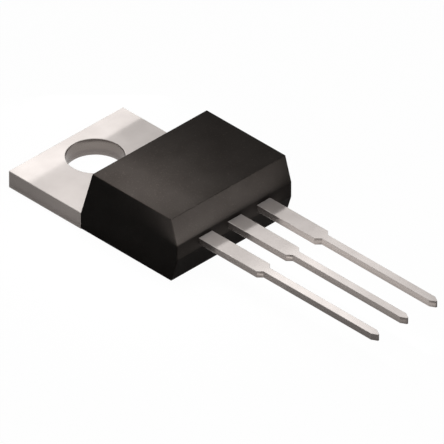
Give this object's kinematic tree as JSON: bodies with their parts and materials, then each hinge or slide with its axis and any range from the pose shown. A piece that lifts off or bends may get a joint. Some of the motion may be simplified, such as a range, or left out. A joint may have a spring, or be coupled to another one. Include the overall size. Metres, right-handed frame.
{
  "type": "power mosfet",
  "caption": "Through-hole power transistor: drilled flat metal tab, black moulded block and a row of straight flat leads that step down to pointed pins.",
  "frame": {"origin": "centre of the mounting hole, in the plane of the metal face that seats on a heat sink", "axes": "+X across the package from the gate lead to the source lead, +Y from the leads towards the free end of the tab, +Z from the mounting face to the flat top of the moulding"},
  "size_m": [0.01, 0.0302, 0.0047],
  "materials": {
    "epoxy_compound": "black moulding compound, fine matt skin from an eroded mould",
    "tinned_copper": "rolled copper strip, blanked and plated with satin tin",
    "silicon": "polished silicon with aluminium pads",
    "solder": "reflowed soft solder",
    "aluminium_wire": "drawn bonding wire"
  },
  "bodies": {
    "root": {"moulded_body": "epoxy_compound", "drain_frame": "tinned_copper", "gate_lead": "tinned_copper", "source_lead": "tinned_copper", "die_solder": "solder", "silicon_die": "silicon", "gate_wire": "aluminium_wire", "source_wire_inner": "aluminium_wire", "source_wire_outer": "aluminium_wire"}
  },
  "joints": []
}
